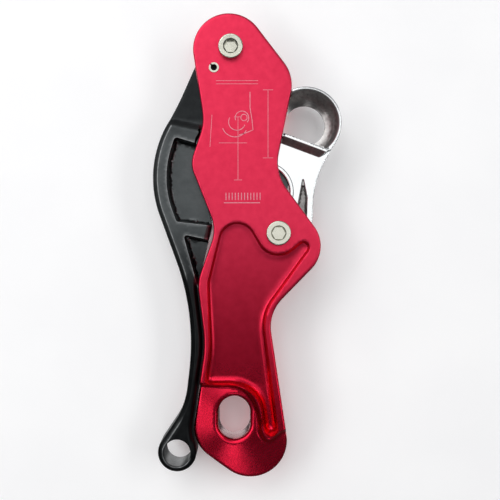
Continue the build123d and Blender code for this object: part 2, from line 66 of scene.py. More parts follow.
PLATE = [
    ((-2.6, 185.6), 18.0), ((-40.7, 151.0), -25.0), ((-7.2, 128.5), 14.0), ((-28.3, 95.0), -18.0),
    ((5.0, 66.5), 22.9), ((-75.0, 38.0), -60.0), ((-3.2, -5.6), 17.4), ((8.5, -13.0), 18.5),
    ((38.5, 46.5), -20.0), ((27.0, 87.0), 16.5), ((44.0, 129.0), -22.0), ((10.0, 167.5), 19.0),
]
PRESS = [
    ((34.7, 86.3), 3.2), (L, -10.2), ((1.65, 89.4), 9.6), ((5.0, 66.5), 18.4), ((-75.0, 38.0), -62.5),
    ((-11.5, 20.0), 3.0), ((-1.0, 2.0), -15.0), ((18.5, -4.5), 3.5), ((38.5, 46.5), -23.0),
]
HANDLE = [
    (U, 13.4), ((-135.8, 212.8), -120.0), ((13.8, 121.5), 55.0), ((-142.0, 38.0), -120.0),
    ((-63.5, 20.3), -40.0), (EYE, 9.75), ((-3.2, -5.6), -17.85), ((-75.0, 38.0), 59.5),
    ((5.0, 66.5), -23.3), ((-19.0, 97.0), 7.5), ((-13.5, 118.0), -3.0), (NOSE, 11.2), ((34.0, 154.0), -26.5),
]
FIELD_HIGH = [
    ((-5.5, 133.6), 1.2), ((-28.9, 140.1), 1.6), ((13.8, 121.5), 47.9), ((-27.9, 100.7), 1.6),
    ((-5.5, 97.7), 1.2),
]
FIELD_LOW = [((-5.5, 87.6), 1.0), ((-23.8, 91.1), 1.4), ((-17.4, 66.8), 1.0), ((-5.5, 77.0), 1.0)]
ARM = [
    (RING, 18.1), ((20.25, 137.4), 8.0), ((14.8, 114.5), -13.2), (L, 9.0), ((34.5, 101.0), 5.5),
    ((90.0, 106.0), -50.0),
]
GROOVE = [((34.9, 120.4), 0.6), ((32.9, 107.0), 1.1), ((35.6, 100.5), 1.3), ((36.3, 112.0), 1.0)]


# ---------------------------------------------------------------- plane geometry
def chain(lobes, grow=0.0, step=0.6):
    """Closed line round a chain of circles joined by tangents, moved outward by grow."""
    lobes = [(np.array(c, float), r + grow) for c, r in lobes]
    n = len(lobes)
    ends = []
    for i in range(n):
        (a, ra), (b, rb) = lobes[i], lobes[(i + 1) % n]
        d = b - a
        k = max(-1.0, min(1.0, (rb - ra) / np.hypot(*d)))
        t = math.atan2(d[1], d[0]) + math.acos(k)
        u = np.array((math.cos(t), math.sin(t)))
        ends.append((a - ra * u, b - rb * u))
    out = []
    for i in range(n):
        c, r = lobes[i]
        p, q = ends[i - 1][1], ends[i][0]
        a0 = math.atan2(*(p - c)[::-1])
        a1 = math.atan2(*(q - c)[::-1])
        turn = (a1 - a0) % (2 * math.pi) if r > 0 else -((a0 - a1) % (2 * math.pi))
        m = max(2, int(abs(turn) * max(abs(r), 2.0) / step) + 1)
        for k in range(m):
            a = a0 + turn * k / m
            out.append((c[0] + abs(r) * math.cos(a), c[1] + abs(r) * math.sin(a)))
        m = max(1, int(np.hypot(*(ends[i][1] - q)) / (1.6 * step)))
        for k in range(m):
            out.append(tuple(q + (ends[i][1] - q) * k / m))
    return np.array(out)


def curve(points, step=0.5):
    """Smooth open line through a few points (Catmull-Rom)."""
    p = np.array(points, float)
    p = np.vstack([2 * p[0] - p[1], p, 2 * p[-1] - p[-2]])
    out = []
    for a, b, c, d in zip(p, p[1:], p[2:], p[3:]):
        m = max(2, int(np.hypot(*(c - b)) / step))
        for t in np.arange(m)[:, None] / m:
            square, cube = 2 * a - 5 * b + 4 * c - d, 3 * b - a - 3 * c + d
            out.append(0.5 * (2 * b + (c - a) * t + square * t**2 + cube * t**3))
    return np.array(out + [p[-2]])


def beside(line, gap):
    """An open line moved sideways by gap, to its left."""
    run = np.gradient(line, axis=0)
    run /= np.maximum(np.hypot(run[:, 0], run[:, 1])[:, None], 1e-9)
    return line + gap * np.stack([-run[:, 1], run[:, 0]], 1)


def circle(centre, radius, step=0.6):
    m = max(24, int(2 * math.pi * radius / step))
    a = np.arange(m) * 2 * math.pi / m
    return np.stack([centre[0] + radius * np.cos(a), centre[1] + radius * np.sin(a)], 1)


def oval(grow, step=0.6):
    """The eye's throat, 16 wide and 21.5 tall, moved outward by grow."""
    return chain([((0.0, 2.75), 8.0), ((0.0, -2.75), 8.0)], grow, step)


def ring_axes():
    along = np.array((math.cos(RING_TILT), math.sin(RING_TILT)))
    return along, np.array((-along[1], along[0]))


def ring_hole(step=0.5):
    """The D-shaped hole of the rope ring: a circle cut off by a flat."""
    along, up = ring_axes()
    c = np.array(RING)
    half = math.sqrt(RING_THROAT**2 - RING_FLAT**2)
    a0 = math.asin(-RING_FLAT / RING_THROAT)
    pts = []
    for a in np.linspace(a0, math.pi - a0, 96):
        pts.append(c + RING_THROAT * (math.cos(a) * along + math.sin(a) * up))
    for k in range(1, 16):
        pts.append(c - up * RING_FLAT + along * (-half + 2 * half * k / 16))
    return np.array(pts)


def inside(p, poly):
    """Which points lie inside a closed line."""
    x, y = p[:, 0], p[:, 1]
    hit = np.zeros(len(p), bool)
    for (x0, y0), (x1, y1) in zip(poly, np.roll(poly, -1, 0)):
        if y0 == y1:
            continue
        span = (y0 > y) != (y1 > y)
        hit ^= span & (x < (x1 - x0) * (y - y0) / (y1 - y0) + x0)
    return hit


def away(p, poly):
    """Distance of points from a closed line."""
    best = np.full(len(p), 1e9)
    for a, b in zip(poly, np.roll(poly, -1, 0)):
        d = b - a
        t = np.clip(((p - a) @ d) / max(d @ d, 1e-12), 0, 1)
        q = p - a - t[:, None] * d
        best = np.minimum(best, q[:, 0] ** 2 + q[:, 1] ** 2)
    return np.sqrt(best)


def depth(p, poly):
    """Distance inside a closed line, negative outside it."""
    return np.where(inside(p, poly), 1.0, -1.0) * away(p, poly)


def ease(x, lo, hi):
    t = np.clip((x - lo) / (hi - lo), 0, 1)
    return t * t * (3 - 2 * t)


def mix(a, b, t):
    return a + (b - a) * t


def break_edge(d, size, drop=None):
    """How much a rounded edge falls at distance d inside an outline."""
    t = np.clip(1 - d / size, 0, 1)
    return (drop or size) * (1 - np.sqrt(np.clip(1 - t * t, 0, 1)))


# ---------------------------------------------------------------- mesh building
def sheet_points(outline, holes, rings, pitch, lines=()):
    """Points and triangles that fill an outline, following the given closed rings and open lines."""
    closed = [outline] + holes + rings
    edges, at = [], 0
    for line in closed:
        n = len(line)
        edges += [(at + i, at + (i + 1) % n) for i in range(n)]
        at += n
    for line in lines:
        n = len(line)
        edges += [(at + i, at + i + 1) for i in range(n - 1)]
        at += n
    pts = np.concatenate(closed + list(lines))
    lo, hi = outline.min(0), outline.max(0)
    xs = np.arange(lo[0], hi[0], pitch)
    ys = np.arange(lo[1], hi[1], pitch * 0.866)
    gx, gy = np.meshgrid(xs, ys)
    gx = gx + (np.arange(len(ys)) % 2)[:, None] * pitch / 2
    grid = np.stack([gx.ravel(), gy.ravel()], 1)
    grid = grid[inside(grid, outline)]
    for h in holes:
        grid = grid[~inside(grid, h)]
    keep = np.ones(len(grid), bool)
    cell = pitch * 0.55
    taken = {}
    for p in pts:
        taken.setdefault((int(p[0] // cell), int(p[1] // cell)), []).append(p)
    for i, g in enumerate(grid):
        a, b = int(g[0] // cell), int(g[1] // cell)
        for u in (a - 1, a, a + 1):
            for v in (b - 1, b, b + 1):
                for q in taken.get((u, v), ()):
                    if (q[0] - g[0]) ** 2 + (q[1] - g[1]) ** 2 < cell * cell:
                        keep[i] = False
    grid = grid[keep]
    allp = np.concatenate([pts, grid])
    out = delaunay_2d_cdt([Vector(p) for p in allp], edges, [], 0, 1e-5)
    v = np.array([tuple(q) for q in out[0]])
    f = np.array([t for t in out[2] if len(t) == 3])
    c = v[f].mean(1)
    ok = inside(c, outline)
    for h in holes:
        ok &= ~inside(c, h)
    f = f[ok]
    used, inv = np.unique(f, return_inverse=True)
    return v[used], inv.reshape(-1, 3)


def slab(name, outline, holes, rings, front, back, pitch=1.0, sharp=38.0, marks=None, lines=()):
    """A closed piece: an outline filled in plan, with its own height towards the front and the back."""
    p, f = sheet_points(outline, holes, rings, pitch, lines)
    n = len(p)
    yf = -front(p)
    yb = np.maximum(back(p), yf + 0.02)
    v = np.concatenate([
        np.stack([p[:, 0], yf, p[:, 1]], 1),
        np.stack([p[:, 0], yb, p[:, 1]], 1),
    ]) * MM
    e1 = p[f[:, 1]] - p[f[:, 0]]
    e2 = p[f[:, 2]] - p[f[:, 0]]
    flip = (e1[:, 0] * e2[:, 1] - e1[:, 1] * e2[:, 0]) < 0
    f[flip] = f[flip][:, ::-1]
    faces = [tuple(t) for t in f] + [(t[2] + n, t[1] + n, t[0] + n) for t in f]
    seen = {}
    for t in f:
        for a, b in ((t[0], t[1]), (t[1], t[2]), (t[2], t[0])):
            seen[(a, b)] = True
    for a, b in list(seen):
        if (b, a) not in seen:
            faces.append((b, a, a + n, b + n))
    mesh = bpy.data.meshes.new(name)
    mesh.from_pydata([tuple(q) for q in v], [], [tuple(int(i) for i in t) for t in faces])
    mesh.update()
    mesh.shade_smooth()
    mesh.set_sharp_from_angle(angle=math.radians(sharp))
    if marks:
        for key, fn in marks.items():
            layer = mesh.attributes.new(key, "FLOAT", "POINT")
            w = fn(p)
            layer.data.foreach_set("value", np.concatenate([w, w]).astype(np.float32))
    obj = bpy.data.objects.new(name, mesh)
    bpy.context.scene.collection.objects.link(obj)
    return obj


# ---------------------------------------------------------------- side plates
PLATE_LINE = chain(PLATE)
PRESS_LINE = chain(PRESS, step=0.5)
THROAT = oval(0.0, 0.5)
LOW_RIDGE = curve([
    (-20.0, 16.9), (-8.5, 16.6), (-1.5, 16.6), (5.0, 14.2), (10.0, 8.2), (12.3, 0.5), (13.2, -7.0),
    (15.6, -11.0), (18.9, -11.4), (21.8, -9.2), (25.5, -6.6), (34.0, -5.6),
])
LOW_LINE = np.concatenate([LOW_RIDGE, [(60.0, -5.6), (60.0, -50.0), (-60.0, -50.0), (-60.0, 16.9)]])


def pressed_floor(z):
    return 4.0 + 0.0756 * np.maximum(z - 17.0, 0.0)


def plate_parts(p):
    z = p[:, 1]
    edge = depth(p, PLATE_LINE)
    press = depth(p, PRESS_LINE)
    throat = -depth(p, THROAT)
    low = depth(p, LOW_LINE)
    foot = 1 - (1 - np.clip((press - 0.3) / 3.9, 0, 1)) ** 2.4
    sunk = mix(PLATE_OUT, pressed_floor(z), 0.76 * ease(press, -0.2, 1.1) + 0.24 * foot)
    cone = EYE_OUT - CONE_SLOPE * np.maximum(throat - LIP, 0.0)
    body = mix(sunk, cone, ease(low, -1.9, 1.5))
    lip = 5.5 + 2.5 * np.sqrt(np.clip(1 - (throat / LIP - 1) ** 2, 0, 1))
    body = np.where(throat < LIP, np.minimum(lip, body), body)
    return body, edge, throat, low, sunk


def plate_outer(p):
    body, edge, _, low, _ = plate_parts(p)
    round_off = mix(1.15, 1.6, ease(low, -4.0, 4.0))
    return body - break_edge(edge, 1.15) * round_off / 1.15


def plate_inner(p):
    _, _, throat, low, sunk = plate_parts(p)
    inner = np.maximum(sunk - PLATE_THICK, SEAM)
    inner = mix(inner, SEAM, ease(low, -4.5, 1.0))
    return np.where(throat < 7.0, SEAM, inner)


def side_plate(name, side):
    rings = [chain(PLATE, -g) for g in (0.08, 0.3, 0.65, 1.15, 1.9)]
    wall_and_foot = (0.2, 0.0, -0.2, -0.45, -0.7, -0.9, -1.1, -1.5, -2.0, -2.6, -2.85)
    rings += [chain(PRESS, g, 0.5) for g in wall_and_foot]
    rings += [oval(g, 0.5) for g in (0.08, 0.25, 0.5, 0.85, 1.3, 1.8, LIP)]
    lines = [beside(LOW_RIDGE, g) for g in (-1.5, -0.7, 0.1, 0.9, 1.9)]
    holes = [THROAT, circle(U, AXLE_BORE), circle(L, AXLE_BORE), circle(STOP, 2.52, 0.4)]
    outer = plate_outer
    inner = plate_inner
    # painted shade: this mask makes the eye's bore wall and a 0.6 mm band round it near-black crimson in the
    # red material
    marks = {"bore": lambda p: 1.0 - ease(-depth(p, THROAT), 0.05, 0.6)}
    if side == FRONT:
        return slab(name, PLATE_LINE, holes, rings, outer, lambda p: -inner(p), 0.9, 52.0, marks, lines)
    return slab(name, PLATE_LINE, holes, rings, lambda p: -inner(p), outer, 0.9, 52.0, marks, lines)


# ---------------------------------------------------------------- lever
HANDLE_LINE = chain(HANDLE)
FIELD_HIGH_LINE = chain(FIELD_HIGH, step=0.5)
FIELD_LOW_LINE = chain(FIELD_LOW, step=0.5)
HANDLE_HOLE = circle(EYE, EYE_BORE)
PLATE_OUT_LINE = chain(PLATE, 1.0)


def handle_faces(p, thick, core, floor, nose):
    x, z = p[:, 0], p[:, 1]
    edge = depth(p, HANDLE_LINE)
    hole = -depth(p, HANDLE_HOLE)
    covered = depth(p, PLATE_OUT_LINE)
    step_line = z - (150.5 - 0.218 * (x + 33.0))
    rim = thick - 1.75 * np.clip(1 - edge / 2.5, 0, 1) - break_edge(edge, 0.5)
    rim = rim - break_edge(hole, 0.8)
    scoop = ease(step_line, -3.2, 2.4)
    body = mix(rim, core - break_edge(edge, 1.0), scoop)
    body = np.where(covered > 0, np.minimum(body, core), body)
    sink = np.maximum(depth(p, FIELD_HIGH_LINE), depth(p, FIELD_LOW_LINE))
    body = mix(body, np.minimum(body, floor), ease(sink, 0.0, 1.3))
    if nose is not None:
        near_nose = ease(x, -3.0, -1.0) * ease(160.0 - z, 0.0, 6.0)
        body = np.where((x > -3.0) & (z < 160.0), np.minimum(body, mix(body, nose, near_nose)), body)
    return body


def handle_front(p):
    return handle_faces(p, 9.5, 7.0, 3.2, 3.9)


def handle_back(p):
    return handle_faces(p, 7.5, 6.7, 0.5, None)


def handle_edge_highlight(p):
    """1 along the crisp edges and pocket edges where a bright highlight line is painted, 0 elsewhere."""
    edge = depth(p, HANDLE_LINE)
    sink = np.maximum(depth(p, FIELD_HIGH_LINE), depth(p, FIELD_LOW_LINE))
    apart = ease(-depth(p, PLATE_OUT_LINE), 4.5, 6.5)
    edge_highlight = np.exp(-(((edge - 2.5) / 0.33) ** 2)) * (p[:, 1] < 148.0) * apart
    return np.maximum(edge_highlight, np.exp(-(((sink + 0.05) / 0.3) ** 2)))


def handle_lever():
    rings = [chain(HANDLE, -g) for g in (0.15, 0.5, 1.2, 2.1, 2.35, 2.5, 2.65, 3.0)]
    for g in (-0.35, -0.15, 0.0, 0.2, 0.45, 0.75, 0.95):
        rings += [chain(FIELD_HIGH, -g, 0.45), chain(FIELD_LOW, -g, 0.45)]
    rings += [circle(EYE, EYE_BORE + g) for g in (0.1, 0.3, 0.5, 0.8)]
    holes = [HANDLE_HOLE, circle(U, BUSH_BORE)]
    marks = {"edge_highlight": handle_edge_highlight}
    return slab("lever_body", HANDLE_LINE, holes, rings, handle_front, handle_back, 1.2, 42.0, marks)


# ---------------------------------------------------------------- swing arm
ARM_LINE = chain(ARM)
GROOVE_LINE = chain(GROOVE, step=0.4)
RING_HOLE = ring_hole()
PLATE_NEAR_LINE = chain(PLATE, 0.5)


def arm_places(p):
    """Distance from the ring's centre, and distance below its flat."""
    _, up = ring_axes()
    q = p - np.array(RING)
    return np.hypot(q[:, 0], q[:, 1]), -(q @ up) - RING_FLAT


def arm_front(p):
    r, below = arm_places(p)
    edge = depth(p, ARM_LINE)
    window = np.hypot(p[:, 0] - 14.8, p[:, 1] - 114.5)
    web = WEB_FRONT + 0.5 * (1 - ease(window, 14.9, 15.4))
    web = mix(web, 5.4, ease(depth(p, GROOVE_LINE), 0.0, 1.3))
    hub = np.hypot(p[:, 0] - L[0], p[:, 1] - L[1])
    web = np.where(hub < 9.0, 7.7, web)
    bar = 11.0 - break_edge(below, 0.5) - np.clip((below - 1.5) * 1.12, 0, None)
    funnel = np.interp(r, [RING_THROAT, 10.9, 12.9, 14.9, 16.2, 16.9], [-1.0, 0.6, 5.4, 8.6, 10.3, 11.0])
    open_side = np.where(r < RING_OUT, funnel, WEB_FRONT)
    body = np.where(below >= 0, np.where(r < RING_OUT, np.maximum(bar, web), web), open_side)
    covered = depth(p, PLATE_NEAR_LINE)
    body = np.where(covered > 0, np.minimum(body, 7.7), body)
    return body - break_edge(edge, 0.7)


def arm_back(p):
    r, below = arm_places(p)
    edge = depth(p, ARM_LINE)
    hub = np.hypot(p[:, 0] - L[0], p[:, 1] - L[1])
    inside_wall = depth(p, ARM_WALL_LINE)
    web = np.where((edge < 3.4) & (inside_wall > 0), 6.7, -4.2)
    web = np.where(hub < 9.0, 6.7, web)
    funnel = np.interp(r, [RING_THROAT, 10.9, 11.7, 13.2, 15.0], [1.3, 2.6, 5.0, 7.0, 8.0])
    body = np.where((below < 0) & (r < RING_OUT), funnel, web)
    covered = depth(p, PLATE_NEAR_LINE)
    body = np.where(covered > 0, np.minimum(body, 6.7), body)
    return body - break_edge(edge, 0.7)


ARM_WALL_LINE = np.array([(32.25, 111.4), (82.25, 111.4), (82.25, 155.4), (48.25, 143.4), (32.25, 133.4)])


def bar_line(below, start, end, step=0.6):
    """A line parallel to the ring's flat, at a distance below it."""
    along, up = ring_axes()
    n = max(2, int(abs(end - start) / step))
    c = np.array(RING) - up * (RING_FLAT + below)
    return np.array([c + along * (start + (end - start) * k / n) for k in range(n + 1)])


def straight(a, b, step=0.7):
    n = max(2, int(math.hypot(b[0] - a[0], b[1] - a[1]) / step))
    return np.array([(a[0] + (b[0] - a[0]) * k / n, a[1] + (b[1] - a[1]) * k / n) for k in range(n + 1)])


def arm_dull_and_shade(p):
    """1 on the ring's funnel, the bar's slope and the groove: there the steel is rougher and its colour is
    painted dark grey as shade.
    """
    r, below = arm_places(p)
    funnel = ease(16.9 - r, 0.0, 0.5) * ease(-below, 0.0, 0.4)
    slope = ease(below, 1.3, 1.8) * ease(5.2 - below, 0.0, 0.5) * ease(18.6 - r, 0.0, 1.0)
    return np.maximum(np.maximum(funnel, slope), ease(depth(p, GROOVE_LINE), 0.1, 0.6))


def swing_arm():
    rings = [chain(ARM, -g) for g in (0.1, 0.35, 0.7, 1.1)]
    rings += [chain(ARM, -g) for g in (3.35, 3.45)]
    rings += [circle(RING, g, 0.5) for g in (10.9, 11.7, 12.9, 14.0, 14.9, 16.2, 16.9)]
    rings += [circle((14.8, 114.5), g, 0.5) for g in (14.9, 15.15, 15.4)]
    rings += [circle(L, g, 0.5) for g in (8.95, 9.05)]
    rings += [chain(GROOVE, g, 0.4) for g in (0.0, -0.25, -0.5)]
    holes = [RING_HOLE, circle(L, BUSH_BORE)]
    rings += [PLATE_NEAR_LINE]
    lines = [straight((38.2, 111.4), (70.0, 111.4)), straight((32.25, 122.0), (32.25, 133.4))]
    lines += [straight((32.25, 133.4), (48.25, 143.4)), straight((48.25, 143.4), (70.0, 151.3))]
    lines += [bar_line(b, -19.0, 19.0) for b in (0.5, 1.3, 1.5, 2.6, 3.8, 4.9, 5.2)]
    lines += [bar_line(0.03, 6.1, 19.0), bar_line(0.03, -19.0, -6.1)]
    return slab("arm_body", ARM_LINE, holes, rings, arm_front, arm_back, 0.8, 34.0, {"dull_and_shade": arm_dull_and_shade}, lines)


# ---------------------------------------------------------------- materials
class Nodes:
    """Short helper for building a material's node tree."""

    def __init__(self, name):
        self.mat = bpy.data.materials.new(name)
        self.mat.use_nodes = True
        self.tree = self.mat.node_tree
        self.bsdf = self.tree.nodes["Principled BSDF"]
        self.coord = self.tree.nodes.new("ShaderNodeTexCoord").outputs["Object"]

    def add(self, kind, inputs=None, **props):
        node = self.tree.nodes.new(kind)
        for k, v in props.items():
            setattr(node, k, v)
        for k, v in (inputs or {}).items():
            if hasattr(v, "links"):
                self.tree.links.new(v, node.inputs[k])
            else:
                node.inputs[k].default_value = v
        return node

    def noise(self, scale, detail=3.0, rough=0.5, vector=None):
        inputs = {"Vector": vector or self.coord, "Scale": scale, "Detail": detail, "Roughness": rough}
        return self.add("ShaderNodeTexNoise", inputs).outputs["Fac"]

    def stretch(self, sx, sy, sz):
        return self.add("ShaderNodeMapping", {"Vector": self.coord, "Scale": (sx, sy, sz)}).outputs["Vector"]

    def ramp(self, fac, stops):
        node = self.add("ShaderNodeValToRGB", {"Fac": fac})
        while len(node.color_ramp.elements) < len(stops):
            node.color_ramp.elements.new(0.5)
        for e, (at, col) in zip(node.color_ramp.elements, stops):
            e.position = at
            e.color = (*col, 1.0) if len(col) == 3 else col
        return node.outputs["Color"]

    def span(self, fac, lo, hi, to_lo, to_hi):
        return self.add("ShaderNodeMapRange", {"Value": fac, "From Min": lo, "From Max": hi, "To Min": to_lo,
                                               "To Max": to_hi}).outputs["Result"]

    def math(self, op, a, b=0.0):
        return self.add("ShaderNodeMath", {0: a, 1: b}, operation=op).outputs[0]

    def mix(self, fac, a, b):
        node = self.add("ShaderNodeMix", {"Factor": fac}, data_type="RGBA")
        for i, v in ((6, a), (7, b)):
            if hasattr(v, "links"):
                self.tree.links.new(v, node.inputs[i])
            else:
                node.inputs[i].default_value = (*v, 1.0)
        return node.outputs[2]

    def set(self, **sockets):
        names = {"color": "Base Color", "metal": "Metallic", "rough": "Roughness", "normal": "Normal",
                 "coat": "Coat Weight", "coat_rough": "Coat Roughness"}
        for k, v in sockets.items():
            s = self.bsdf.inputs[names[k]]
            if hasattr(v, "links"):
                self.tree.links.new(v, s)
            elif k == "color":
                s.default_value = (*v, 1.0)
            else:
                s.default_value = v

    def bump(self, height, strength, distance=0.0001):
        inputs = {"Height": height, "Strength": strength, "Distance": distance}
        return self.add("ShaderNodeBump", inputs).outputs["Normal"]

    def height_z(self):
        return self.add("ShaderNodeSeparateXYZ", {"Vector": self.coord}).outputs["Z"]


def red_anodised():
    m = Nodes("red_anodised")
    fine = m.noise(5200.0, 2.0, 0.6)
    soft = m.noise(260.0, 4.0, 0.55)
    tone = m.ramp(soft, [(0.30, (0.60, 0.024, 0.066)), (0.70, (0.67, 0.032, 0.080))])
    # painted shade: a darker red used on the plates below about 10 mm up, blending into the plain red by 100
    # mm up
    shaded_red = m.ramp(soft, [(0.30, (0.56, 0.008, 0.032)), (0.70, (0.64, 0.011, 0.042))])
    # painted shade: the bore mask turns the eye's throat wall near-black crimson
    bore = m.add("ShaderNodeAttribute", attribute_name="bore").outputs["Fac"]
    col = m.mix(bore, m.mix(m.span(m.height_z(), 0.01, 0.10, 0.0, 1.0), shaded_red, tone), (0.13, 0.006, 0.014))
    specks = m.span(m.noise(1500.0, 2.0, 0.7), 0.35, 0.65, -0.03, 0.03)
    base = m.span(m.height_z(), 0.0, 0.105, 0.27, 0.40)
    m.set(color=col, metal=1.0, rough=m.math("ADD", base, specks), normal=m.bump(fine, 0.16, 0.00006),
          coat=0.05, coat_rough=0.25)
    return m.mat


def black_anodised():
    m = Nodes("black_anodised")
    edge_highlight = m.add("ShaderNodeAttribute", attribute_name="edge_highlight").outputs["Fac"]
    patch = m.noise(160.0, 5.0, 0.6)
    # painted light: the grey tone below is used on the handle's middle band, about 100 to 138 mm up and
    # fading out by 70 and 152 mm, and the near-black tone on both ends, for how the light falls along it
    painted_sheen_tone = m.ramp(patch, [(0.3, (0.062, 0.068, 0.070)), (0.7, (0.080, 0.087, 0.089))])
    ends = m.ramp(patch, [(0.3, (0.014, 0.015, 0.016)), (0.7, (0.022, 0.024, 0.025))])
    z = m.height_z()
    middle = m.math("MULTIPLY", m.span(z, 0.07, 0.10, 0.0, 1.0), m.span(z, 0.138, 0.152, 1.0, 0.0))
    # painted highlight: pale grey lines along the crisp edges, taken from the edge mask and broken up by
    # noise
    edge_highlight_amount = m.math("MULTIPLY", edge_highlight, m.span(m.noise(420.0, 3.0, 0.6), 0.3, 0.7, 0.35, 1.0))
    col = m.mix(edge_highlight_amount, m.mix(middle, ends, painted_sheen_tone), (0.30, 0.31, 0.315))
    rough = m.span(m.noise(900.0, 3.0, 0.6), 0.3, 0.7, 0.30, 0.40)
    m.set(color=col, metal=1.0, rough=rough, normal=m.bump(m.noise(3800.0, 2.0, 0.6), 0.25, 0.00006))
    return m.mat


def polished_steel(name="polished_steel", tone=(0.80, 0.82, 0.83), rough=0.20,
                   grain=(9000.0, 400.0, 400.0), strength=0.10, dull_and_shade=None):
    """Bright steel with fine scratches along one direction; the mark named by the last argument makes those
    surfaces rougher and paints them dark grey as shade.
    """
    m = Nodes(name)
    scratch = m.noise(1.0, 3.0, 0.6, m.stretch(*grain))
    blot = m.noise(210.0, 4.0, 0.6)
    dark = tuple(0.86 * c for c in tone)
    col = m.ramp(blot, [(0.3, dark), (0.7, tone)])
    cloudy = m.span(blot, 0.3, 0.7, rough - 0.05, rough + 0.06)
    shine = m.math("ADD", cloudy, m.span(scratch, 0.3, 0.7, -0.03, 0.04))
    if dull_and_shade:
        # painted shade: where the mark is set, the colour turns dark grey, and the roughness also rises by up
        # to 0.14
        dull_shade_mask = m.add("ShaderNodeAttribute", attribute_name=dull_and_shade).outputs["Fac"]
        painted_shade_grey = m.ramp(m.noise(700.0, 4.0, 0.6), [(0.3, (0.20, 0.19, 0.19)), (0.7, (0.33, 0.32, 0.31))])
        col = m.mix(dull_shade_mask, col, painted_shade_grey)
        shine = m.math("ADD", shine, m.span(dull_shade_mask, 0.0, 1.0, 0.0, 0.14))
    m.set(color=col, metal=1.0, rough=shine, normal=m.bump(scratch, strength, 0.00006))
    return m.mat


def brass():
    m = Nodes("bush_brass")
    n = m.noise(500.0, 4.0, 0.6)
    m.set(color=m.ramp(n, [(0.3, (0.50, 0.36, 0.14)), (0.7, (0.62, 0.46, 0.20))]), metal=1.0,
          rough=m.span(n, 0.3, 0.7, 0.28, 0.42), normal=m.bump(m.noise(3000.0), 0.1, 0.00005))
    return m.mat


def mark_paint():
    m = Nodes("engraved_line")
    n = m.noise(1800.0, 3.0, 0.6)
    m.set(color=m.ramp(n, [(0.35, (0.62, 0.20, 0.26)), (0.65, (0.78, 0.36, 0.42))]), metal=0.35,
          rough=m.span(n, 0.3, 0.7, 0.42, 0.60), normal=m.bump(m.noise(4000.0), 0.3, 0.00005))
    return m.mat


def floor_paint():
    m = Nodes("pale_floor")
    n = m.noise(18.0, 4.0, 0.6)
    m.set(color=m.ramp(n, [(0.3, (0.86, 0.86, 0.87)), (0.7, (0.90, 0.90, 0.905))]), rough=0.7,
          normal=m.bump(m.noise(900.0, 3.0), 0.04, 0.0001))
    m.bsdf.inputs["Emission Color"].default_value = (1.0, 1.0, 1.0, 1.0)
    m.bsdf.inputs["Emission Strength"].default_value = 0.17
    away_side = m.add("ShaderNodeNewGeometry").outputs["Backfacing"]
    clear = m.add("ShaderNodeBsdfTransparent").outputs[0]
    blend = m.add("ShaderNodeMixShader", {0: away_side, 1: m.bsdf.outputs[0], 2: clear})
    out = [n for n in m.tree.nodes if n.bl_idname == "ShaderNodeOutputMaterial"][0]
    m.tree.links.new(blend.outputs[0], out.inputs["Surface"])
    return m.mat


RED = red_anodised()
BLACK = black_anodised()
STEEL = polished_steel(dull_and_shade="dull_and_shade")
BOLT = polished_steel("bolt_steel", (0.56, 0.56, 0.48), 0.20, (900.0, 900.0, 900.0), 0.14)
WIRE = polished_steel("spring_steel", (0.42, 0.42, 0.43), 0.30, (700.0, 700.0, 700.0), 0.12)
BRASS = brass()


def paint(obj, mat):
    obj.data.materials.clear()
    obj.data.materials.append(mat)


# ---------------------------------------------------------------- pieces
front = side_plate("front_side_plate", FRONT)
back = side_plate("back_side_plate", BACK)
lever = handle_lever()
arm = swing_arm()
for obj, node, body, slot, mat in (
    (front, "front_plate", "frame", "plate_red", RED),
    (back, "back_plate", "frame", "plate_red", RED),
    (lever, "handle_lever", "handle", "lever_black", BLACK),
    (arm, "swing_arm", "arm", "polished_steel", STEEL),
):
    paint(obj, mat)
    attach(obj, body)
    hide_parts(node)

finishes = {
    "wear_plate": polished_steel("wear_steel", (0.84, 0.85, 0.85), 0.16, (400.0, 400.0, 6000.0), 0.08),
    "upper_axle_sleeve": BOLT, "upper_axle_screw": BOLT, "lower_axle_sleeve": BOLT, "lower_axle_screw": BOLT,
    "stop_pin": BOLT, "handle_washer_front": BOLT, "handle_washer_back": BOLT,
    "handle_bush": BRASS, "arm_bush": BRASS, "handle_spring": WIRE, "arm_spring": WIRE,
}
for node, mat in finishes.items():
    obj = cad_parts[node]
    if len(obj.material_slots) == 0:
        obj.data.materials.append(mat)
    for s in obj.material_slots:
        s.material = mat

# ---------------------------------------------------------------- engraved lines on the front plate
MARK = mark_paint()


def strokes(name, lines, width, lift, side=FRONT):
    """Thin flat lines that lie on a plate's flat upper face."""
    verts, faces = [], []
    y = side * (PLATE_OUT + lift) * MM
    for line in lines:
        pts = np.array(line, float)
        seg = np.diff(pts, axis=0)
        seg /= np.maximum(np.hypot(seg[:, 0], seg[:, 1])[:, None], 1e-9)
        tan = np.vstack([seg[:1], (seg[:-1] + seg[1:]) / 2, seg[-1:]])
        tan /= np.maximum(np.hypot(tan[:, 0], tan[:, 1])[:, None], 1e-9)
        nrm = np.stack([-tan[:, 1], tan[:, 0]], 1) * width / 2
        at = len(verts)
        for q, d in zip(pts, nrm):
            verts.append(((q[0] + d[0]) * MM, y, (q[1] + d[1]) * MM))
            verts.append(((q[0] - d[0]) * MM, y, (q[1] - d[1]) * MM))
        for k in range(len(pts) - 1):
            a = at + 2 * k
            face = (a, a + 1, a + 3, a + 2)
            faces.append(face if side == FRONT else face[::-1])
    mesh = bpy.data.meshes.new(name)
    mesh.from_pydata(verts, [], faces)
    obj = bpy.data.objects.new(name, mesh)
    bpy.context.scene.collection.objects.link(obj)
    paint(obj, MARK)
    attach(obj, "frame")
    return obj


def arc_line(cx, cz, r, a0, a1, n=18, squash=1.0):
    a = np.radians(np.linspace(a0, a1, n))
    return [(cx + r * math.cos(t), cz + squash * r * math.sin(t)) for t in a]


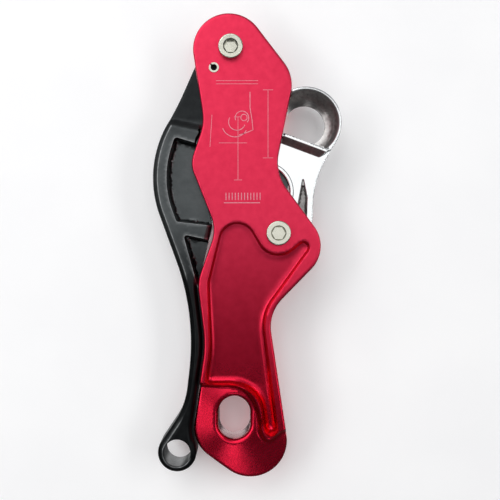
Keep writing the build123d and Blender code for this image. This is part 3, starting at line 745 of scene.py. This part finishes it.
strokes("front_dimension_lines", [
    [(17.0, 165.0), (17.0, 131.0)], [(14.5, 165.0), (19.5, 165.0)], [(14.5, 131.0), (19.5, 131.0)],
    [(2.0, 151.5), (2.0, 120.0)], [(0.0, 151.5), (4.0, 151.5)], [(0.0, 120.0), (4.0, 120.0)],
], 0.24, 0.015)
strokes("front_rope_line", [
    [(8.0, 164.0), (8.0, 156.0), (9.0, 150.0), (9.5, 145.0), (6.0, 143.5), (2.5, 142.5)],
    arc_line(0.5, 148.0, 6.5, 200, 330), arc_line(1.5, 149.0, 4.2, 150, 340),
    arc_line(4.0, 151.0, 3.4, -40, 200),
    arc_line(5.0, 151.2, 1.6, 0, 359),
], 0.36, 0.015)
strokes("front_faint_lines", [
    [(-11.0, 152.5), (-12.0, 136.5)], [(-7.5, 138.5), (6.5, 138.5)],
    [(-9.0, 168.0), (12.0, 168.0)], [(-9.0, 169.6), (12.0, 169.6)],
], 0.22, 0.012)
strokes("front_size_ticks", [[(x, 113.6), (x, 110.0)] for x in np.arange(-4.0, 13.1, 1.55)]
        + [[(-5.0, 108.6), (13.0, 108.6)]], 0.42, 0.012)
strokes("back_rope_lines", [
    [(-6.0, 164.0), (-6.0, 150.0), (-3.0, 143.0), (2.0, 138.0), (2.0, 124.0)],
    arc_line(3.0, 140.0, 6.0, -30, 210), arc_line(3.0, 140.0, 3.2, -40, 230),
    arc_line(9.0, 134.0, 4.5, 40, 250),
    [(-12.0, 166.0), (12.0, 166.0)], [(-12.0, 168.4), (12.0, 168.4)], [(-7.0, 118.0), (11.0, 118.0)],
    [(-5.0, 115.8), (9.0, 115.8)],
], 0.34, 0.012, BACK)

# ---------------------------------------------------------------- stage, light and camera
def pale_floor(name, y, facing):
    """A pale sheet that the descender lies on, seen only from the side that the descender is on."""
    half = 2.0
    corners = [(-half, y, -half), (half, y, -half), (half, y, half), (-half, y, half)]
    mesh = bpy.data.meshes.new(name)
    mesh.from_pydata(corners, [], [(0, 1, 2, 3) if facing < 0 else (3, 2, 1, 0)])
    obj = bpy.data.objects.new(name, mesh)
    bpy.context.scene.collection.objects.link(obj)
    paint(obj, FLOOR)
    for ray in ("diffuse", "glossy", "transmission", "volume_scatter", "shadow"):
        setattr(obj, "visible_" + ray, False)
    return obj


FLOOR = floor_paint()
pale_floor("floor", 0.0153, -1)
pale_floor("floor_for_back_views", -0.0153, 1)


def softbox(name, where, size, power):
    data = bpy.data.lights.new(name, "AREA")
    data.shape = "RECTANGLE"
    data.size, data.size_y = size
    data.energy = power
    obj = bpy.data.objects.new(name, data)
    bpy.context.scene.collection.objects.link(obj)
    obj.location = where
    obj.rotation_euler = (Vector((0.005, 0.0, 0.085)) - Vector(where)).to_track_quat("-Z", "Y").to_euler()
    return obj


for side, tag in ((-1, "front"), (1, "back")):
    softbox(tag + "_key", (-0.35, side * 0.80, 0.80), (0.9, 0.5), 3.7)
    softbox(tag + "_left", (-0.80, side * 0.80, 0.22), (0.35, 0.9), 3.6)
    softbox(tag + "_right", (0.80, side * 0.80, 0.18), (0.30, 0.9), 2.8)
    softbox(tag + "_panel", (0.05, side * 1.15, 0.25), (0.9, 0.6), 2.15)
    softbox(tag + "_low_left", (-0.44, side * 0.83, -0.26), (0.16, 0.3), 0.32)
    softbox(tag + "_low", (-0.04, side * 0.72, -0.61), (0.2, 0.2), 0.36)

world = bpy.data.worlds.new("room")
bpy.context.scene.world = world
world.use_nodes = True
sky = world.node_tree
toward = sky.nodes.new("ShaderNodeTexCoord").outputs["Generated"]
split = sky.nodes.new("ShaderNodeSeparateXYZ")
sky.links.new(toward, split.inputs[0])
fade = sky.nodes.new("ShaderNodeValToRGB")
sky.links.new(split.outputs["Z"], fade.inputs["Fac"])
for e, at, v in zip((fade.color_ramp.elements[0], fade.color_ramp.elements[1]), (0.0, 0.6), (0.11, 0.42)):
    e.position = at
    e.color = (v, v, 1.02 * v, 1.0)
sky.links.new(fade.outputs["Color"], sky.nodes["Background"].inputs["Color"])
sky.nodes["Background"].inputs["Strength"].default_value = 1.0
bpy.context.scene.view_settings.view_transform = "Standard"

cam_data = bpy.data.cameras.new("camera")
cam_data.sensor_width = 36.0
cam_data.lens = 47.5
cam_data.clip_start = 0.01
cam = bpy.data.objects.new("camera", cam_data)
cam.location = (0.008, -0.3415, 0.085)
cam.rotation_euler = (math.pi / 2, 0.0, 0.0)
bpy.context.scene.collection.objects.link(cam)
bpy.context.scene.camera = cam
